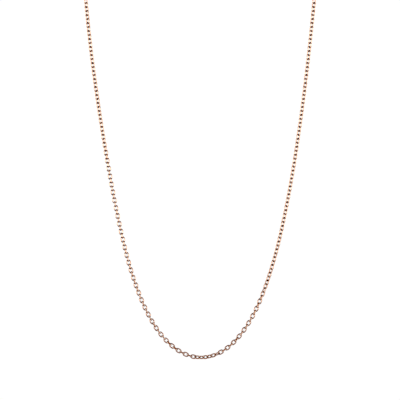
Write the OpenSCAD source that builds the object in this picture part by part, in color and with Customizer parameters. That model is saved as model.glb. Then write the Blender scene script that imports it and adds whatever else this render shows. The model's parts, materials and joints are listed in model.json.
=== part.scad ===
// Fine cable-chain necklace with a lobster-claw clasp, laid out unfastened in its hanging curve.
// The front centre of the chain is over the origin, +Y runs up to the two ends, z = 0 is the table.

/* [Chain] */
// Thickness of the chain's round wire
wire_d = 0.45; // [0.4:0.01:0.48]
// Outside width of a link
link_w = 1.85; // [1.75:0.05:2.1]
// Distance from one link to the next along the pulled-out chain
link_pitch = 1.607; // [1.5:0.001:1.8]
// Play between two hooked links
link_play = 0.04; // [0.02:0.01:0.08]
// Links in each segment of the chain
links_per_segment = 6; // [4:2:6]
// Segments in each arm, beside the one at the front centre
arm_segments = 22; // [8:1:22]

/* [Drape] */
// Radius of the curve at the front centre
drape_r = 15; // [12:0.5:20]
// How far the left arm hangs in from the even curve
left_lean = 0.8; // [0:0.05:1]
// How far the front hangs to the right of the even curve
front_lean = 0.4; // [0:0.05:0.5]
// How far the links at the front have slid along the curve towards the left
front_slide = 0.6; // [0:0.05:0.7]
// Height of the low arches in which the chain lies on the table
arch_h = 0.4; // [0:0.05:0.5]
// Links in each arch
arch_links = 18; // [12:1:24]

/* [End fittings] */
// Outside diameter of the jump rings
ring_d = 3; // [2.8:0.1:3.2]
// Thickness of the jump rings' wire
ring_wire_d = 0.6; // [0.5:0.05:0.65]
// Length of the end tab that the clasp hooks into
tab_len = 7.5; // [6:0.5:10]
// Width of the end tab
tab_w = 3.6; // [3.4:0.1:4.5]
// Thickness of the end tab
tab_t = 0.5; // [0.4:0.05:0.6]
// Diameter of the hole in the end tab that the clasp hooks into
tab_hole_d = 2.2; // [1.8:0.1:2.4]

/* [Clasp] */
// Outside radius of the clasp's hook
hook_r = 3; // [2.9:0.05:3.2]
// Inside radius of the clasp's hook
hook_inner_r = 1.75; // [1.7:0.05:1.85]
// Thickness of the clasp's lever
lever_t = 0.9; // [0.7:0.1:1]
// Diameter of the rivet that the lever turns on
rivet_d = 0.7; // [0.6:0.05:0.8]

/* [Hidden] */
$fn = 48;
wire_r = wire_d / 2;
// Radius of the wire's centreline round each end of a link
link_bend_r = link_w / 2 - wire_r;
// Straight length between a link's two round ends
link_straight = link_pitch + link_play + 2 * wire_d - link_w;
arm_links = arm_segments * links_per_segment;
front_links = links_per_segment / 2;
// Arc length from the front centre to the end of either arm
arm_len = (front_links + arm_links) * link_pitch;

ring_wire_r = ring_wire_d / 2;
// Radius of a jump ring's centreline
ring_r = ring_d / 2 - ring_wire_r;
// Play between a jump ring and what it holds
ring_play = 0.05;
// Height of the jump rings' centres over the table: they stand on edge
ring_z = ring_d / 2;
// Length over which each arm's end rises from the table to its jump ring
rise_len = 9.6;
// Room under the chain, which keeps links that tilt or twist off the table
table_play = 0.01;
arch_len = arch_links * link_pitch;
// Where along the chain the arch over the front centre has its top
arch_top = 3.2;
// Length to either side of the front centre over which the links have slid
slide_len = min(65, arm_len);
// How far past the end of the chain the jump ring's centre is
ring_reach = ring_r - ring_wire_r - ring_play / 2;
// Play between a jump ring and the tab or clasp that hangs on it
part_play = 0.18;
// How far past the jump ring's centre the hole of the tab or clasp begins
ring_hold = ring_r - ring_wire_r - part_play;

// How the curve leans from an even one: [how far, where its middle is, half its length], with the
// places as arc lengths from the front centre
leans = [
    [left_lean, -80, 68],
    [front_lean, 15, 85]
];

// How the links roll about the chain: [from, to, angle], with the places as arc lengths from the front
// centre. At a roll of 0 the even links lie flat and the odd ones stand on edge.
first_roll = -90;
roll_steps = [
    [-arm_len, 16 - arm_len, 45],
    [-108, -84, 45],
    [-4.8, -0.4, 45],
    [4.8, 9.2, 45],
    [28, 46, 45],
    [arm_len - 16, arm_len, 45]
];

arm_names = ["left", "right"];
function two_digits(k) = str(k < 10 ? "0" : "", k);
function segment_name(arm, k) = str("chain_", arm_names[arm], "_", two_digits(k));

// ---- The curve that the chain lies along ----

function clamped(t) = min(max(t, 0), 1);
function smooth(t) = clamped(t) * clamped(t) * (3 - 2 * clamped(t));
function asinh(v) = ln(v + sqrt(v * v + 1));
function sum(list, i = 0) = i < len(list) ? list[i] + sum(list, i + 1) : 0;
// A swell of height 1 at its middle, which ends half its length to either side
function swell(s, middle, half) = abs(s - middle) < half ? pow(cos(90 * (s - middle) / half), 2) : 0;
function lean(s) = sum([for (l = leans) l[0] * swell(s, l[1], l[2])]);
// A catenary that leans a little, by its arc length from the front centre
function drape_x(s) = drape_r * asinh(s / drape_r) + lean(s) - lean(0);
function drape_y(s) = sqrt(s * s + drape_r * drape_r) - drape_r;
function roll(s) = first_roll + sum([for (t = roll_steps) t[2] * smooth((s - t[0]) / (t[1] - t[0]))]);
// The height at which a chain of that roll rests on the table
function resting_z(s) = wire_r + link_bend_r * max(abs(sin(roll(s))), abs(cos(roll(s))));
function rise(s) = smooth((abs(s) - arm_len + rise_len) / rise_len);
// The height of an arch at s: 0 where it meets the next one
function arch(s) = arch_h * (1 + cos(360 * (s - arch_top) / arch_len)) / 2;
function table_z(s) = resting_z(s) + table_play + arch(s);
function chain_z(s) = table_z(s) + rise(s) * (ring_z - table_z(s));
// The arc length at which link i - 1 hooks link i, and that at link i's middle
function hook_s(i) = i * link_pitch - front_slide * swell(i * link_pitch, 0, slide_len);
function middle_s(i) = (hook_s(i) + hook_s(i + 1)) / 2;
function curve_point(s) = [drape_x(s), drape_y(s), chain_z(s)];

// Places its children along the line from one point to another, with X along the line, Z up
module along(from, to) {
    d = to - from;
    translate((from + to) / 2)
        rotate([0, -atan2(d.z, norm([d.x, d.y])), atan2(d.y, d.x)])
            children();
}

// ---- The chain ----

// Half of a link: one round end and one straight side
module half_link() {
    translate([link_straight / 2, 0, 0])
        rotate([0, 0, -90])
            rotate_extrude(angle = 180)
                translate([link_bend_r, 0])
                    circle(r = wire_r);
    translate([-link_straight / 2, link_bend_r, 0])
        rotate([0, 90, 0])
            cylinder(r = wire_r, h = link_straight);
}

module link() {
    half_link();
    rotate([0, 0, 180])
        half_link();
}

// Links number first to last, each at a quarter turn to its neighbours
module links(first, last) {
    for (i = [first:last])
        along(curve_point(hook_s(i)), curve_point(hook_s(i + 1)))
            rotate([roll(middle_s(i)) + (i % 2 == 0 ? 0 : 90), 0, 0])
                link();
}

module chain_front() {
    color("rosybrown")
        links(-front_links, front_links - 1);
}

module chain_segment(arm, k) {
    inner = front_links + (k - 1) * links_per_segment;
    outer = inner + links_per_segment;
    color("rosybrown")
        links(arm == 0 ? -outer : inner, (arm == 0 ? -inner : outer) - 1);
}

// ---- What is at the ends ----

// Puts its children at the jump ring of an arm: X points away from the chain, Z is up
module at_ring(arm) {
    side = arm == 0 ? -1 : 1;
    s = side * arm_len;
    away = atan2(side * s, side * drape_r);
    translate([drape_x(s), drape_y(s), ring_z])
        rotate([0, 0, away])
            translate([ring_reach, 0, 0])
                children();
}

// A round ring on edge, in the plane of X and Z
module jump_ring() {
    rotate([90, 0, 0])
        rotate_extrude()
            translate([ring_r, 0])
                circle(r = ring_wire_r);
}

module end_jump_ring() {
    color("rosybrown")
        at_ring(0)
            jump_ring();
}

module clasp_jump_ring() {
    color("rosybrown")
        at_ring(1)
            jump_ring();
}

// Diameter of the small hole in the tab, which is on the jump ring
tab_ring_hole_d = 1.3;
// Metal between each of the tab's holes and its ends
tab_rim = 0.5;
// The tab hangs on the ring and its far end is on the table
tab_drop = asin((ring_z - tab_t / 2) / (tab_len - tab_rim));

// A flat tab with round ends and two holes. X = 0 is where its ring hole begins
module tab() {
    small_r = tab_ring_hole_d / 2 + tab_rim;
    big_x = tab_len - tab_rim - tab_w / 2;
    difference() {
        union() {
            translate([tab_ring_hole_d / 2, 0, 0])
                cylinder(r = small_r, h = tab_t, center = true);
            translate([tab_ring_hole_d / 2, -small_r, -tab_t / 2])
                cube([big_x - tab_ring_hole_d / 2, 2 * small_r, tab_t]);
            translate([big_x, 0, 0])
                cylinder(r = tab_w / 2, h = tab_t, center = true);
        }
        translate([tab_ring_hole_d / 2, 0, 0])
            cylinder(d = tab_ring_hole_d, h = 2 * tab_t, center = true);
        translate([big_x, 0, 0])
            cylinder(d = tab_hole_d, h = 2 * tab_t, center = true);
    }
}

module end_tab() {
    color("rosybrown")
        at_ring(0)
            translate([ring_hold, 0, 0])
                rotate([0, tab_drop, 0])
                    tab();
}

// ---- The clasp: X runs from its eye to its nose, Y towards its lever, Z through its thickness ----

// The clasp is level with the jump ring's centre, and this far over the table
clasp_lift = 0.1;
clasp_t = 2 * (ring_z - clasp_lift);
// How much thinner the hook is than the housing, on each side
hook_step = 0.4;
hook_t = clasp_t - 2 * hook_step;
eye_hole_r = 0.62;
eye_r = 1.17;
eye_t = 0.56;
// The neck's two ends, and half its width at each
neck_from = 0.77;
neck_to = 2.6;
neck_from_w = 0.72;
neck_to_w = 1.55;
// Centres of the housing, the hook and the lever's rivet
housing_x = 3.9;
housing_r = 2.05;
hook_x = 7.4;
rivet_x = 5.15;
rivet_y = 1.55;
rivet_boss_r = 1.05;
rivet_play = 0.03;
// Play on both sides of the lever together
slot_play = 0.1;
slot_t = lever_t + slot_play;
slot_r = 1.1;
// How far the slot runs out past the hook's round
slot_reach = 0.4;
// Where the slot's pocket for the spring begins and ends along the housing
pocket_from = 3.05;
pocket_to = 4.85;
pocket_floor = 0.05;
// The hook's mouth, between these angles round the hook's centre
mouth_from = 46;
mouth_to = 150;
lever_hub_r = 0.85;
lever_play = 0.06;
// The lever closes the mouth from inside the hook
lever_inner_r = 1.15;
lever_outer_r = 2.3;
lever_tip = 30;
lever_shoulder = 62;
toe_end = lever_shoulder + 2;
lever_end = 145;
// The lever's thumb nub: its stem's place and width, and its round top, from the rivet
nub_stem = 1.1;
nub_stem_w = 0.8;
nub_root = 0.1;
nub_x = 0.85;
nub_y = 1.35;
nub_r = 0.5;
// More than any part's reach, for cuts that leave through a side
through = 3;
spring_t = 0.12;
spring_r = 0.66;
spring_x = 3.77;
spring_y = 0.75;
// Where the spring's open loop begins, and how far it turns
spring_from = 35;
spring_turn = 290;

module at_clasp() {
    at_ring(1)
        translate([ring_hold + eye_hole_r, 0, 0])
            children();
}

module disc(x, y, r, t) {
    translate([x, y, 0])
        cylinder(r = r, h = t, center = true);
}

// Part of a flat ring round the hook's centre, between two radii and two angles
module hook_arc(inner, outer, from, to, t) {
    translate([hook_x, 0, -t / 2])
        rotate([0, 0, from])
            rotate_extrude(angle = to - from)
                translate([inner, 0])
                    square([outer - inner, t]);
}

// The neck between the eye and the housing, seen from above
neck_outline = [
    [neck_from, -neck_from_w],
    [neck_to, -neck_to_w],
    [neck_to, neck_to_w],
    [neck_from, neck_from_w]
];

module clasp_body() {
    color("rosybrown")
        at_clasp()
            difference() {
                union() {
                    disc(0, 0, eye_r, eye_t);
                    translate([0, 0, -hook_t / 2])
                        linear_extrude(hook_t)
                            polygon(neck_outline);
                    disc(housing_x, 0, housing_r, clasp_t);
                    disc(rivet_x, rivet_y, rivet_boss_r, clasp_t);
                    hook_arc(hook_inner_r, hook_r, mouth_to, 360 + mouth_from, hook_t);
                }
                disc(0, 0, eye_hole_r, 2 * clasp_t);
                disc(hook_x, 0, hook_inner_r, 2 * clasp_t);
                disc(rivet_x, rivet_y, rivet_d / 2, 2 * clasp_t);
                // The slot for the lever, open towards the mouth and the thumb nub
                disc(rivet_x, rivet_y, slot_r, slot_t);
                hook_arc(hook_inner_r - slot_play, hook_r + slot_reach, mouth_from, mouth_to, slot_t);
                translate([pocket_from, pocket_floor, -slot_t / 2])
                    cube([pocket_to - pocket_from, through, slot_t]);
            }
}

module clasp_lever() {
    color("rosybrown")
        at_clasp()
            difference() {
                union() {
                    disc(rivet_x, rivet_y, lever_hub_r, lever_t);
                    hook_arc(lever_inner_r, lever_outer_r, lever_shoulder, lever_end, lever_t);
                    // The toe that stops under the tip of the hook
                    hook_arc(lever_inner_r, hook_inner_r - lever_play, lever_tip, toe_end, lever_t);
                    // The thumb nub
                    translate([rivet_x - nub_stem, rivet_y - nub_root, -lever_t / 2])
                        cube([nub_stem_w, nub_y + nub_root, lever_t]);
                    disc(rivet_x - nub_x, rivet_y + nub_y, nub_r, lever_t);
                }
                disc(rivet_x, rivet_y, rivet_d / 2 + rivet_play, 2 * lever_t);
            }
}

module clasp_rivet() {
    color("rosybrown")
        at_clasp()
            disc(rivet_x, rivet_y, rivet_d / 2, clasp_t);
}

// A leaf bent into an open loop, which pushes the lever's heel out
module clasp_spring() {
    color("silver")
        at_clasp()
            translate([spring_x, spring_y, -lever_t / 2])
                rotate([0, 0, spring_from])
                    rotate_extrude(angle = spring_turn)
                        translate([spring_r - spring_t, 0])
                            square([spring_t, lever_t]);
}

chain_front();
for (arm = [0, 1])
    for (k = [1:arm_segments])
        chain_segment(arm, k);
end_jump_ring();
end_tab();
clasp_jump_ring();
clasp_body();
clasp_lever();
clasp_rivet();
clasp_spring();
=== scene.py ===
"""The looks of the cable-chain necklace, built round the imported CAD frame. Lengths are in metres."""

import json
import math

import bpy
import numpy as np
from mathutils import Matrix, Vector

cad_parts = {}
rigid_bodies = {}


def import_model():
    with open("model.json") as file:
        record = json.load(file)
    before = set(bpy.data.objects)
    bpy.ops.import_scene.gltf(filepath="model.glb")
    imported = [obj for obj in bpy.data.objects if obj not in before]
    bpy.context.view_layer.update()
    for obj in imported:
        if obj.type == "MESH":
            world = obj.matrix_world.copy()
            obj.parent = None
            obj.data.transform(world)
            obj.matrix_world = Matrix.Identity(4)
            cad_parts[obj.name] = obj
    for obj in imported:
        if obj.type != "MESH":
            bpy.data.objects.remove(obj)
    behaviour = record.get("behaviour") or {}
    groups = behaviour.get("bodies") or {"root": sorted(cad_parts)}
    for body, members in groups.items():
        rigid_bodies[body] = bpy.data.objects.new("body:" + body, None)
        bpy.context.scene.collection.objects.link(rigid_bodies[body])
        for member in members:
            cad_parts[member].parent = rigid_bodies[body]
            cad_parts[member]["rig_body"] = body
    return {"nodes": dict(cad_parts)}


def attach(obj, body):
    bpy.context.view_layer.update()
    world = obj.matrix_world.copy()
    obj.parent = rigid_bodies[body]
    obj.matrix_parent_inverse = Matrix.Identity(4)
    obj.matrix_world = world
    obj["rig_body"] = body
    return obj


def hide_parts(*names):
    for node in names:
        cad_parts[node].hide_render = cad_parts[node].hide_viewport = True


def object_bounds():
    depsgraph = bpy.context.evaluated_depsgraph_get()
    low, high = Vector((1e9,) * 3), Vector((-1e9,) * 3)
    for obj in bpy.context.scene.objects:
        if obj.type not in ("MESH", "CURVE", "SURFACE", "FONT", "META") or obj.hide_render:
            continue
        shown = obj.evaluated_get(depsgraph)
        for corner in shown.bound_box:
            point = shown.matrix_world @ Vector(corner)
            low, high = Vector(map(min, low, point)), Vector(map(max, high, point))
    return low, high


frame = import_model()
cad_low, cad_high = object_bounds()
nodes = frame["nodes"]
scene = bpy.context.scene

MM = 0.001
TURN = 2 * math.pi
# CAD corners nearer to each other than this are the same corner
SAME_POINT = 0.0001 * MM

# ---- Meshes ----


def mesh_arrays(data):
    """A triangle mesh's vertices and its triangles' vertex numbers, one row each."""
    points = np.empty(len(data.vertices) * 3, np.float32)
    data.vertices.foreach_get("co", points)
    corners = np.empty(len(data.loops), np.int32)
    data.loops.foreach_get("vertex_index", corners)
    return points.reshape(-1, 3).astype(float), corners.reshape(-1, 3)


def solids_of(node):
    """The separate closed solids in a CAD node, each as its triangles' corner points."""
    points, triangles = mesh_arrays(nodes[node].data)
    spots, spot = np.unique(np.round(points / SAME_POINT), axis=0, return_inverse=True)
    corners = spot.reshape(-1)[triangles]
    label = np.arange(len(spots))
    while True:
        before = label.copy()
        lowest = label[corners].min(axis=1)
        for side in range(3):
            np.minimum.at(label, corners[:, side], lowest)
        label = label[label]
        if np.array_equal(before, label):
            break
    owner = label[corners[:, 0]]
    return [points[triangles[owner == name]] for name in np.unique(owner)]


def placed(solid):
    """A solid's middle, its axes from longest to shortest, and half its size along each."""
    a, b, c = solid[:, 0], solid[:, 1], solid[:, 2]
    area = np.linalg.norm(np.cross(b - a, c - a), axis=1)[:, None]
    middles = (a + b + c) / 3
    centre = (middles * area).sum(axis=0) / area.sum()
    spread = (middles - centre) * np.sqrt(area)
    axes = np.linalg.eigh(spread.T @ spread)[1][:, ::-1].T
    axes[2] = np.cross(axes[0], axes[1])
    along = (solid.reshape(-1, 3) - centre) @ axes.T
    low, high = along.min(axis=0), along.max(axis=0)
    return centre + (low + high) / 2 @ axes, axes, (high - low) / 2


def tube_grid(rows, columns, first=0):
    """The quads of a tube of rows by columns whose ends meet."""
    row, column = np.meshgrid(np.arange(rows), np.arange(columns), indexing="ij")
    after, beside = (row + 1) % rows, (column + 1) % columns
    quads = np.stack([
        row * columns + column,
        after * columns + column,
        after * columns + beside,
        row * columns + beside,
    ], axis=-1)
    return quads.reshape(-1, 4) + first


def add_mesh(name, points, faces, shade=None):
    """A smooth-shaded mesh object. shade is a value for each vertex, for its material to read: painted
    shade on the links, the dark seam line on the rings.
    """
    data = bpy.data.meshes.new(name)
    data.from_pydata(points.tolist(), [], faces.tolist())
    data.polygons.foreach_set("use_smooth", np.ones(len(faces), bool))
    if shade is not None:
        layer = data.attributes.new("painted_shade_and_seam", "FLOAT", "POINT")
        layer.data.foreach_set("value", shade.astype(np.float32))
    data.update()
    piece = bpy.data.objects.new(name, data)
    scene.collection.objects.link(piece)
    return piece


def settle(piece, node, material):
    """Puts a finished piece in a CAD node's place: its body and its material."""
    piece.data.materials.clear()
    piece.data.materials.append(material)
    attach(piece, nodes[node]["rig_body"])
    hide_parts(node)
    return piece


# ---- Materials ----

# How fine the patches of colour, the changes of finish and the scratches are, as noise scales
PATCHES, FINISH, SCRATCHES = 700, 4000, 14000
# The colour in a patch, as shares of the metal's own, and how much rougher the finish gets
PATCH_CAST = (1.0, 0.93, 0.88)
MORE_ROUGH = 0.12
SCRATCH_DEPTH = 0.01 * MM


def metal(name, colour, shade_and_seam, roughness, scratch):
    """Polished metal: a cast of colour in patches, painted shade at the links' hooked ends and the dark
    seam line on rings, both read from the mesh, and fine scratches in its finish.
    """
    material = bpy.data.materials.new(name)
    material.use_nodes = True
    tree = material.node_tree
    shader = tree.nodes["Principled BSDF"]
    shader.inputs["Metallic"].default_value = 1.0

    place = tree.nodes.new("ShaderNodeTexCoord")

    def noise(scale, detail):
        node = tree.nodes.new("ShaderNodeTexNoise")
        node.inputs["Scale"].default_value = scale
        node.inputs["Detail"].default_value = detail
        tree.links.new(place.outputs["Object"], node.inputs["Vector"])
        return node.outputs["Fac"]

    def remap(value, low, high, to_low, to_high):
        node = tree.nodes.new("ShaderNodeMapRange")
        for socket, number in zip(node.inputs[1:5], (low, high, to_low, to_high)):
            socket.default_value = number
        tree.links.new(value, node.inputs["Value"])
        return node.outputs["Result"]

    def mix(factor, first, second):
        node = tree.nodes.new("ShaderNodeMix")
        node.data_type = "RGBA"
        tree.links.new(factor, node.inputs["Factor"])
        for socket, value in ((node.inputs["A"], first), (node.inputs["B"], second)):
            if isinstance(value, tuple):
                socket.default_value = (*value, 1)
            else:
                tree.links.new(value, socket)
        return node.outputs["Result"]

    patches = remap(noise(PATCHES, 3), 0.35, 0.65, 0, 1)
    warmer = tuple(c * k for c, k in zip(colour, PATCH_CAST))
    base = mix(patches, colour, warmer)
    # Painted shade on the links' ends, and the dark seam line on the rings, read from the mesh and mixed
    # towards the dark colour
    painted_shade_and_seam = tree.nodes.new("ShaderNodeAttribute")
    painted_shade_and_seam.attribute_name = "painted_shade_and_seam"
    base = mix(painted_shade_and_seam.outputs["Fac"], base, shade_and_seam)
    tree.links.new(base, shader.inputs["Base Color"])

    finish = remap(noise(FINISH, 4), 0.3, 0.7, roughness, roughness + MORE_ROUGH)
    tree.links.new(finish, shader.inputs["Roughness"])
    bump = tree.nodes.new("ShaderNodeBump")
    bump.inputs["Strength"].default_value = scratch
    bump.inputs["Distance"].default_value = SCRATCH_DEPTH
    tree.links.new(noise(SCRATCHES, 3), bump.inputs["Height"])
    tree.links.new(bump.outputs["Normal"], shader.inputs["Normal"])
    return material


ROSE = (0.91, 0.63, 0.47)
# The colour of the painted shade at the links' ends, and of the dark seam line on the rings
ROSE_SHADE_AND_SEAM = (0.13, 0.05, 0.02)
chain_gold = metal("chain_gold", ROSE, ROSE_SHADE_AND_SEAM, 0.06, 0.15)
fitting_gold = metal("fitting_gold", ROSE, ROSE_SHADE_AND_SEAM, 0.27, 0.12)
spring_steel = metal("spring_steel", (0.72, 0.71, 0.69), (0.1, 0.1, 0.1), 0.22, 0.2)

# ---- The chain ----

LINK_STEPS = 60
WIRE_SIDES = 18
# How square a link's oval is: 2 is an ellipse, and more is fuller at the corners
OVAL_FULLNESS = 2.6
# The solder bead in a link's side: how far it stands proud and how long it is, as shares of the wire
BEAD_RISE = 0.04
BEAD_LENGTH = 1.1
# How far each end of a link is drawn in, so that hooked links all but touch
END_DRAW = 0.010 * MM
# How far links turn from their exact quarter turns, and how far those on edge lie over
LINK_TWIST = math.radians(4)
LIE_OVER = math.radians(6)
# Painted shade darkens a link from here on towards its ends, as shares of its length, and all round its
# wire but for the outside, standing in for the shade where hooked links meet
PAINTED_SHADE_FROM = 0.5
PAINTED_SHADE_FADE = 0.35
PAINTED_SHADE_ROUND = 1.2
# Of each so many links, one has its bead on the other side
BEADS_TURNED = 3


def oval(turn, half_length, half_width):
    """Points of a full oval, at angles turn round it."""
    power = 2 / OVAL_FULLNESS
    c, s = np.cos(turn), np.sin(turn)
    return np.stack([
        half_length * np.sign(c) * np.abs(c) ** power,
        half_width * np.sign(s) * np.abs(s) ** power,
        np.zeros_like(turn),
    ], axis=-1)


def even_oval(steps, half_length, half_width):
    """The same oval with its points evenly spaced along it."""
    dense = oval(np.linspace(0, TURN, 40 * steps + 1), half_length, half_width)
    run = np.concatenate([[0], np.cumsum(np.linalg.norm(np.diff(dense, axis=0), axis=1))])
    wanted = np.arange(steps) * run[-1] / steps
    return np.stack([np.interp(wanted, run, dense[:, k]) for k in range(3)], axis=-1), run[-1]


def link_mesh(half, bead_side):
    """A link of oval wire, along X and flat in XY, and how much painted shade each of its points gets,
    darkest towards its hooked ends.
    """
    wire = half[2]
    line, length = even_oval(LINK_STEPS, half[0] - wire - END_DRAW, half[1] - wire)
    ahead = np.roll(line, -1, axis=0) - np.roll(line, 1, axis=0)
    ahead /= np.linalg.norm(ahead, axis=1)[:, None]
    up = np.array([0.0, 0.0, 1.0])
    outward = np.cross(ahead, up)
    run = np.arange(LINK_STEPS) / LINK_STEPS
    from_bead = np.abs((run - (0.25 if bead_side > 0 else 0.75)) * length) / (BEAD_LENGTH * wire)
    radius = wire * (1 - BEAD_RISE + BEAD_RISE * np.exp(-from_bead ** 2))
    around = np.arange(WIRE_SIDES) * TURN / WIRE_SIDES
    spoke = np.cos(around)[None, :, None] * outward[:, None] + np.sin(around)[None, :, None] * up
    points = line[:, None] + radius[:, None, None] * spoke
    # Painted shade: the wire darkens towards each end of the link and round all but its outside, where
    # hooked links would shade it
    end = np.clip((np.abs(line[:, 0]) / (half[0] - wire) - PAINTED_SHADE_FROM) / PAINTED_SHADE_FADE, 0, 1)
    inner = np.clip(PAINTED_SHADE_ROUND - np.cos(around), 0, 1)
    painted_shade_and_seam = end[:, None] * inner[None, :]
    return points.reshape(-1, 3), painted_shade_and_seam.reshape(-1)


def chain_piece(node):
    """All of a segment's links, each in its CAD solid's place."""
    points, faces, painted_shades = [], [], []
    for number, solid in enumerate(solids_of(node)):
        centre, axes, half = placed(solid)
        link, painted_shade_and_seam = link_mesh(half, 1 if number % BEADS_TURNED else -1)
        on_edge = max(0.0, 1 - 4 * abs(axes[2][2]))
        lean = LINK_TWIST * math.sin((11 * centre[0] + 37 * centre[1]) / MM) + LIE_OVER * on_edge
        # Never so that it stands higher than the CAD's link
        if abs(math.cos(lean) * axes[1][2] + math.sin(lean) * axes[2][2]) > abs(axes[1][2]):
            lean = -lean
        twisted = np.stack([
            axes[0],
            math.cos(lean) * axes[1] + math.sin(lean) * axes[2],
            math.cos(lean) * axes[2] - math.sin(lean) * axes[1],
        ])
        faces.append(tube_grid(LINK_STEPS, WIRE_SIDES, sum(map(len, points))))
        points.append(centre + link @ twisted)
        painted_shades.append(painted_shade_and_seam)
    parts = [np.concatenate(part) for part in (points, faces, painted_shades)]
    piece = add_mesh("links_" + node, *parts)
    return settle(piece, node, chain_gold)


for node in sorted(nodes):
    if node.startswith("chain_"):
        chain_piece(node)

# ---- What is at the ends ----


RING_STEPS = 144
RING_SIDES = 24
# The share of the CAD wire's thickness that a ring has, so that it stays inside the CAD's flats and
# clear of the link it holds
INSIDE_FLATS = 0.96
# The line where a ring's ends meet: where it is, half its width, its depth and how dark it is
SEAM_AT = TURN / 8
SEAM_WIDTH = 0.05
SEAM_DEPTH = 0.1
SEAM_SHADE = 0.8


def ring_piece(node):
    """A jump ring of round wire, with the thin line where its two ends meet."""
    centre, axes, half = placed(solids_of(node)[0])
    wire = INSIDE_FLATS * half[2]
    turn = np.arange(RING_STEPS) * TURN / RING_STEPS
    seam = np.exp(-((turn - SEAM_AT) / SEAM_WIDTH) ** 2)
    radius = wire * (1 - SEAM_DEPTH * seam)
    around = np.arange(RING_SIDES) * TURN / RING_SIDES
    reach = (half[0] - half[2]) + radius[:, None] * np.cos(around)
    points = np.stack([
        reach * np.cos(turn)[:, None],
        reach * np.sin(turn)[:, None],
        radius[:, None] * np.sin(around),
    ], axis=-1).reshape(-1, 3)
    shade = np.repeat(SEAM_SHADE * seam, RING_SIDES)
    piece = add_mesh("ring_" + node, centre + points @ axes, tube_grid(RING_STEPS, RING_SIDES), shade)
    return settle(piece, node, fitting_gold)


def cast_piece(node, name, voxel, rounds, doming, room):
    """A cast or tumbled part: the CAD shape with its edges rounded and its faces domed.

    rounds and doming say how much. room is left all round, in millimetres, and voxel is how fine it is.
    """
    points, triangles = mesh_arrays(nodes[node].data)
    middle = points.mean(axis=0)
    rough = add_mesh("rough", (points - middle) / MM, triangles)
    weld = rough.modifiers.new("weld", "WELD")
    weld.merge_threshold = 0.0005
    remesh = rough.modifiers.new("remesh", "REMESH")
    remesh.mode = "VOXEL"
    remesh.voxel_size = voxel
    smooth = rough.modifiers.new("smooth", "SMOOTH")
    smooth.iterations = rounds
    dome = rough.modifiers.new("dome", "SMOOTH")
    dome.use_x = dome.use_y = False
    dome.iterations = doming
    clear = rough.modifiers.new("clear", "DISPLACE")
    clear.mid_level = 0
    clear.strength = -room
    shape = bpy.data.meshes.new_from_object(rough.evaluated_get(bpy.context.evaluated_depsgraph_get()))
    bpy.data.objects.remove(rough)
    count = len(shape.vertices)
    rounded = np.empty(3 * count, np.float32)
    shape.vertices.foreach_get("co", rounded)
    rounded = rounded.reshape(-1, 3).astype(float) * MM + middle
    shape.vertices.foreach_set("co", rounded.astype(np.float32).ravel())
    shape.polygons.foreach_set("use_smooth", np.ones(len(shape.polygons), bool))
    shape.name = name
    piece = bpy.data.objects.new(name, shape)
    scene.collection.objects.link(piece)
    return settle(piece, node, fitting_gold)


ring_piece("end_jump_ring")
ring_piece("clasp_jump_ring")
cast_piece("end_tab", "tab_rounded", 0.04, 16, 10, 0)
cast_piece("clasp_body", "clasp_cast", 0.06, 10, 120, 0.03)
cast_piece("clasp_lever", "lever_cast", 0.05, 6, 40, 0.06)
cast_piece("clasp_rivet", "rivet_domed", 0.05, 4, 30, -0.06)
nodes["clasp_spring"].data.materials.clear()
nodes["clasp_spring"].data.materials.append(spring_steel)

# ---- The studio ----

FLOOR_REACH = 2.0
FLOOR_GAP = 0.02 * MM

floor_mesh = bpy.data.meshes.new("floor")
floor_corners = [(x * FLOOR_REACH, y * FLOOR_REACH, 0) for x, y in ((-1, -1), (1, -1), (1, 1), (-1, 1))]
floor_mesh.from_pydata(floor_corners, [], [(0, 1, 2, 3)])
floor = bpy.data.objects.new("floor", floor_mesh)
floor.location = (0, 0, cad_low.z - FLOOR_GAP)
scene.collection.objects.link(floor)
# White paper lit from behind, which throws no light back at the metal
paper = bpy.data.materials.new("paper")
paper.use_nodes = True
for socket, value in (
    ("Base Color", (0.03, 0.03, 0.03, 1)),
    ("Emission Color", (1, 1, 1, 1)),
    ("Emission Strength", 1.0),
    ("Roughness", 0.95),
    ("Specular IOR Level", 0.1),
):
    paper.node_tree.nodes["Principled BSDF"].inputs[socket].default_value = value
floor_mesh.materials.append(paper)
floor.visible_glossy = False

# A dark studio with a strip of soft light arched over the necklace from side to side, open at the
# top; the camera itself sees white paper
BELOW = (0.055, 0.017, 0.004)
AROUND = (0.3, 0.115, 0.022)
LIGHT = (3.0, 2.95, 2.85)
# Where the light begins and is full, as shares of a direction towards each axis
STRIP_EDGES = {"X": (0.38, 0.5), "Y": (0.38, 0.12), "Z": (-0.2, 0.0)}
HORIZON = (-0.2, 0.1)

world = bpy.data.worlds.new("studio")
scene.world = world
world.use_nodes = True
tree = world.node_tree
where = tree.nodes.new("ShaderNodeTexCoord")
split = tree.nodes.new("ShaderNodeSeparateXYZ")
tree.links.new(where.outputs["Generated"], split.inputs["Vector"])


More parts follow.
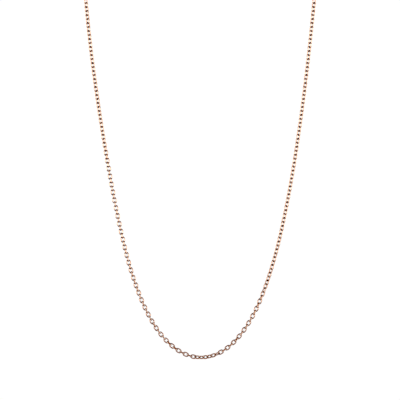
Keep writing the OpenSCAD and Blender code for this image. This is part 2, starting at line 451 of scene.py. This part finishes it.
def calculate(operation, first, second=None):
    node = tree.nodes.new("ShaderNodeMath")
    node.operation = operation
    tree.links.new(first, node.inputs[0])
    if second is not None:
        tree.links.new(second, node.inputs[1])
    return node.outputs[0]


def fade(value, edges):
    node = tree.nodes.new("ShaderNodeMapRange")
    node.interpolation_type = "SMOOTHSTEP"
    for socket, number in zip(node.inputs[1:3], edges):
        socket.default_value = number
    tree.links.new(value, node.inputs["Value"])
    return node.outputs["Result"]


def blend(factor, first, second):
    node = tree.nodes.new("ShaderNodeMix")
    node.data_type = "RGBA"
    tree.links.new(factor, node.inputs["Factor"])
    node.inputs["B"].default_value = (*second, 1)
    if isinstance(first, tuple):
        node.inputs["A"].default_value = (*first, 1)
    else:
        tree.links.new(first, node.inputs["A"])
    return node.outputs["Result"]


across = fade(calculate("ABSOLUTE", split.outputs["X"]), STRIP_EDGES["X"])
beside = fade(calculate("ABSOLUTE", split.outputs["Y"]), STRIP_EDGES["Y"])
above = fade(split.outputs["Z"], STRIP_EDGES["Z"])
strip = calculate("MULTIPLY", calculate("MULTIPLY", across, beside), above)
studio = blend(strip, blend(fade(split.outputs["Z"], HORIZON), BELOW, AROUND), LIGHT)
paths = tree.nodes.new("ShaderNodeLightPath")
seen = blend(paths.outputs["Is Camera Ray"], studio, (1.0, 1.0, 1.0))
tree.links.new(seen, tree.nodes["Background"].inputs["Color"])

# ---- The camera ----

# The stretch in view: the front 143 mm of the curve in a frame 160 mm wide, seen from straight above
VIEW_WIDTH = 160 * MM
VIEW_ACROSS = -0.37 * MM
VIEW_MIDDLE = 62.9 * MM
VIEW_HEIGHT = 0.8
SENSOR = 36.0

camera_data = bpy.data.cameras.new("camera")
camera_data.sensor_width = SENSOR
camera_data.lens = SENSOR * VIEW_HEIGHT / VIEW_WIDTH
camera_data.clip_start = 0.01
camera_data.clip_end = 50
camera = bpy.data.objects.new("camera", camera_data)
camera.location = (VIEW_ACROSS, VIEW_MIDDLE, VIEW_HEIGHT)
scene.collection.objects.link(camera)
scene.camera = camera
scene.view_settings.view_transform = "Standard"
